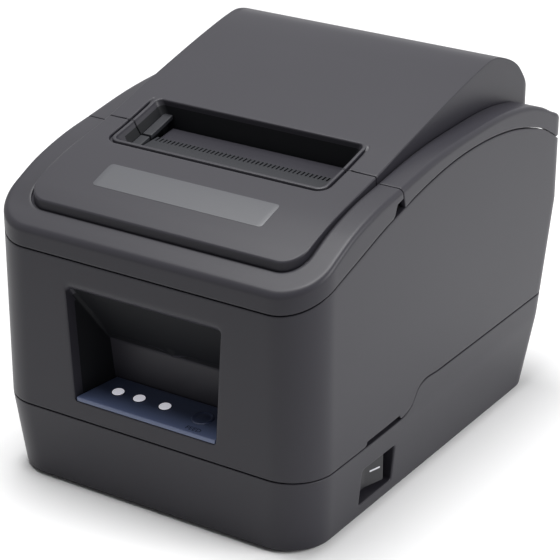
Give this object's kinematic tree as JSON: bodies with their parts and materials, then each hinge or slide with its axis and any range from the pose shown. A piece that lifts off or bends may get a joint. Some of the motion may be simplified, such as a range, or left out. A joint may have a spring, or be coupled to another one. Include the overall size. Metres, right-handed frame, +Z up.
{
  "type": "receipt printer",
  "caption": "Desktop receipt printer with a hinged paper lid, hinged cutter cover, front control panel in a recessed window, paper slot on top and a side power rocker.",
  "frame": {"origin": "middle of the footprint at the underside of the feet", "axes": "+X to the printer's right side as seen from the front, -Y out of its front face, +Z up"},
  "size_m": [0.145, 0.201, 0.1508],
  "materials": {
    "charcoal_plastic": "fine moulded texture, satin",
    "black_plastic": "moulded, satin",
    "panel_film": "smooth tinted film",
    "lens": "milky moulded lens",
    "rubber": "matte",
    "steel": "zinc plated",
    "aluminium": "extruded",
    "white_acetal": "moulded",
    "circuit_board": "solder resist",
    "brass": "machined"
  },
  "bodies": {
    "chassis": {"base_casing": "charcoal_plastic", "main_casing": "charcoal_plastic", "paper_bucket": "black_plastic", "paper_sensor": "black_plastic", "feed_switch": "black_plastic", "switch_housing": "black_plastic", "power_inlet": "black_plastic", "drawer_port": "black_plastic", "usb_port": "black_plastic", "serial_port": "black_plastic", "buzzer": "black_plastic", "control_panel": "panel_film", "power_lens": "lens", "error_lens": "lens", "paper_lens": "lens", "foot_front_left": "rubber", "foot_front_right": "rubber", "foot_rear_left": "rubber", "foot_rear_right": "rubber", "mechanism_frame": "steel", "feed_motor": "steel", "idler_pin": "steel", "cutter_plate": "steel", "cutter_motor": "steel", "cutter_post": "steel", "blade_keeper": "steel", "head_spring_left": "steel", "head_spring_right": "steel", "lid_hinge_pin_left": "steel", "lid_hinge_pin_right": "steel", "cover_hinge_pin_left": "steel", "cover_hinge_pin_right": "steel", "casing_screw_front_left": "steel", "casing_screw_front_right": "steel", "casing_screw_rear_left": "steel", "casing_screw_rear_right": "steel", "head_heat_sink": "aluminium", "print_head": "white_acetal", "panel_board": "circuit_board", "main_board": "circuit_board"},
    "lid": {"lid": "charcoal_plastic", "lid_frame": "black_plastic", "fixed_blade": "steel", "platen_bush_left": "white_acetal", "platen_bush_right": "white_acetal"},
    "platen": {"platen_shaft": "steel", "platen_rubber": "rubber", "platen_gear": "white_acetal"},
    "front_cover": {"front_cover": "charcoal_plastic", "tear_bar": "black_plastic"},
    "idler": {"idler_gear": "white_acetal"},
    "motor_rotor": {"motor_shaft": "steel", "motor_pinion": "brass"},
    "cutter_gear": {"cutter_gear": "white_acetal"},
    "moving_blade": {"moving_blade": "steel"},
    "feed_button": {"feed_button": "black_plastic"},
    "power_rocker": {"power_rocker": "black_plastic"}
  },
  "joints": [
    {"name": "lid_hinge", "type": "hinge", "parent": "chassis", "child": "lid", "pos_m": [0, 0.097, 0.106], "axis": [-1, 0, 0], "range_deg": [0, 88]},
    {"name": "front_cover_hinge", "type": "hinge", "parent": "chassis", "child": "front_cover", "pos_m": [0, -0.0925, 0.069], "axis": [1, 0, 0], "range_deg": [0, 45]},
    {"name": "platen_turn", "type": "hinge", "parent": "lid", "child": "platen", "pos_m": [0, -0.0245, 0.101], "axis": [1, 0, 0], "continuous": true},
    {"name": "idler_turn", "type": "hinge", "parent": "chassis", "child": "idler", "pos_m": [0.0475, -0.0245, 0.0842], "axis": [1, 0, 0], "continuous": true},
    {"name": "motor_turn", "type": "hinge", "parent": "chassis", "child": "motor_rotor", "pos_m": [0.0475, -0.03327, 0.07543], "axis": [1, 0, 0], "continuous": true},
    {"name": "cutter_gear_turn", "type": "hinge", "parent": "chassis", "child": "cutter_gear", "pos_m": [0.006, -0.0565, 0.1104], "axis": [0, 0, -1], "range_deg": [0, 95]},
    {"name": "blade_slide", "type": "slide", "parent": "chassis", "child": "moving_blade", "axis": [0, 1, 0], "range_m": [0, 0.0099]},
    {"name": "feed_button_press", "type": "slide", "parent": "chassis", "child": "feed_button", "axis": [0, 0, -1], "range_m": [0, 0.0007], "stiffness_N_per_m": 600, "springref_m": -0.0003},
    {"name": "power_rocker_tip", "type": "hinge", "parent": "chassis", "child": "power_rocker", "pos_m": [0.0555, -0.048, 0.01425], "axis": [0, 0, 1], "range_deg": [0, 16]}
  ],
  "couplings": [
    {"joint": "idler_turn", "follows": "platen_turn", "ratio": -1.1},
    {"joint": "motor_turn", "follows": "platen_turn", "ratio": 2},
    {"joint": "cutter_gear_turn", "follows": "blade_slide", "rad_per_m": 166.67}
  ]
}
